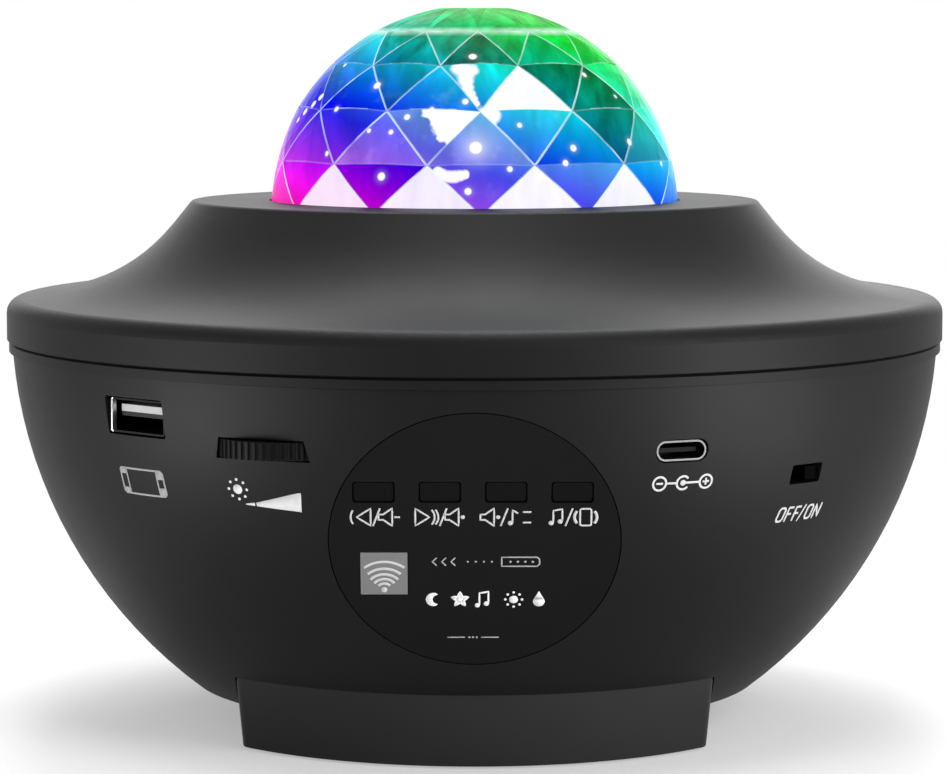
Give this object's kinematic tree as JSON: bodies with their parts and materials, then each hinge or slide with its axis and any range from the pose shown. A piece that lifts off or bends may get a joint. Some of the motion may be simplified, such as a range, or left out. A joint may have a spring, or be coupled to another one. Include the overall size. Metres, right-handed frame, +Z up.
{
  "type": "star night light projector",
  "caption": "Table-top star night light: faceted light dome on a flared round case with a tilted key panel, dial, power switch, two charging sockets and a speaker.",
  "frame": {"origin": "middle of the underside, on the surface that the rubber feet stand on", "axes": "+Z up along the axis of the case and dome; the control panel faces -Y; +X is on the right when looking at the panel"},
  "size_m": [0.168, 0.168, 0.127],
  "materials": {
    "case_black": "satin moulded ABS with a fine texture",
    "panel_black": "satin film over plastic",
    "key_black": "satin",
    "dome_clear": "clear faceted acrylic, polished",
    "window_grey": "smoked acrylic with printed arcs",
    "rubber_black": "matt",
    "socket_steel": "nickel plated",
    "socket_black": "moulded",
    "contact_gold": "plated",
    "dial_black": "knurled",
    "switch_black": "moulded",
    "board_green": "solder mask",
    "chip_black": "moulded",
    "can_aluminium": "drawn can",
    "plug_white": "moulded nylon",
    "screw_steel": "zinc plated",
    "basket_steel": "black painted pressing",
    "magnet_grey": "sintered ferrite",
    "yoke_steel": "zinc plated",
    "cone_paper": "pressed paper pulp",
    "soft_black": "foam rubber",
    "copper": "enamelled wire",
    "frame_black": "moulded",
    "gear_white": "acetal",
    "clear_acrylic": "clear",
    "brass": "turned",
    "motor_steel": "drawn can",
    "heat_aluminium": "extruded",
    "lamp_board": "white solder mask on aluminium",
    "lamp_yellow": "silicone dome",
    "lead_black": "sheathed leads",
    "ribbon_grey": "flat cable"
  },
  "bodies": {
    "case": {"upper_cover": "case_black", "lower_shell": "case_black", "foot_base": "case_black", "rubber_feet": "rubber_black", "dome_cover": "dome_clear", "control_panel": "panel_black", "ir_window": "window_grey", "button_board": "board_green", "tact_switches": "chip_black", "ir_receiver": "chip_black", "button_ribbon": "ribbon_grey", "main_board": "board_green", "board_chips": "chip_black", "board_capacitors": "can_aluminium", "board_connectors": "plug_white", "usb_a_shell": "socket_steel", "usb_a_insert": "socket_black", "usb_a_contacts": "contact_gold", "usb_c_shell": "socket_steel", "usb_c_insert": "socket_black", "power_switch_body": "switch_black", "dial_potentiometer": "chip_black", "speaker_frame": "basket_steel", "speaker_magnet": "magnet_grey", "speaker_yoke": "yoke_steel", "speaker_surround": "soft_black", "speaker_spider": "soft_black", "optics_frame": "frame_black", "disc_axle": "screw_steel", "gear_motor": "motor_steel", "laser_holder": "frame_black", "laser_module": "brass", "lens_holder": "frame_black", "led_lenses": "clear_acrylic", "led_board": "lamp_board", "led_emitters": "lamp_yellow", "heat_sink": "heat_aluminium", "case_screws": "screw_steel", "small_screws": "screw_steel", "light_engine_screws": "screw_steel", "led_lead": "lead_black", "laser_lead": "lead_black", "motor_lead": "lead_black", "speaker_lead": "lead_black"},
    "disc": {"disc_gear": "gear_white", "ripple_disc": "clear_acrylic"},
    "grating_wheel": {"grating_gear": "gear_white", "grating_film": "clear_acrylic"},
    "pinion": {"drive_pinion": "gear_white", "motor_shaft": "screw_steel"},
    "dial": {"brightness_dial": "dial_black", "dial_spindle": "brass"},
    "power_knob": {"power_switch_slider": "switch_black"},
    "cone": {"speaker_cone": "cone_paper", "voice_coil": "copper"},
    "key_1": {"button_1": "key_black"},
    "key_2": {"button_2": "key_black"},
    "key_3": {"button_3": "key_black"},
    "key_4": {"button_4": "key_black"}
  },
  "joints": [
    {"name": "disc_spin", "type": "hinge", "parent": "case", "child": "disc", "pos_m": [0, 0, 0.0839], "axis": [0, 0, 1], "continuous": true},
    {"name": "grating_spin", "type": "hinge", "parent": "case", "child": "grating_wheel", "pos_m": [0.02815, 0, 0.0839], "axis": [0, 0, 1], "continuous": true},
    {"name": "pinion_spin", "type": "hinge", "parent": "case", "child": "pinion", "pos_m": [0, 0.02495, 0.0839], "axis": [0, 0, 1], "continuous": true},
    {"name": "brightness_turn", "type": "hinge", "parent": "case", "child": "dial", "pos_m": [-0.03082, -0.0664, 0.0558], "axis": [0, 0, 1], "range_deg": [-135, 135]},
    {"name": "power_slide", "type": "slide", "parent": "case", "child": "power_knob", "axis": [-0.7325, -0.6807, 0], "range_m": [0, 0.003]},
    {"name": "cone_stroke", "type": "slide", "parent": "case", "child": "cone", "axis": [0, 0, 1], "range_m": [-0.0006, 0.0006], "stiffness_N_per_m": 1500, "deforming": ["speaker_surround", "speaker_spider"]},
    {"name": "key_1_press", "type": "slide", "parent": "case", "child": "key_1", "axis": [0, 0.9212, 0.3891], "range_m": [0, 0.0005], "stiffness_N_per_m": 700},
    {"name": "key_2_press", "type": "slide", "parent": "case", "child": "key_2", "axis": [0, 0.9212, 0.3891], "range_m": [0, 0.0005], "stiffness_N_per_m": 700},
    {"name": "key_3_press", "type": "slide", "parent": "case", "child": "key_3", "axis": [0, 0.9212, 0.3891], "range_m": [0, 0.0005], "stiffness_N_per_m": 700},
    {"name": "key_4_press", "type": "slide", "parent": "case", "child": "key_4", "axis": [0, 0.9212, 0.3891], "range_m": [0, 0.0005], "stiffness_N_per_m": 700}
  ],
  "couplings": [
    {"joint": "pinion_spin", "follows": "disc_spin", "ratio": -4.1667},
    {"joint": "grating_spin", "follows": "disc_spin", "ratio": -2.5}
  ]
}
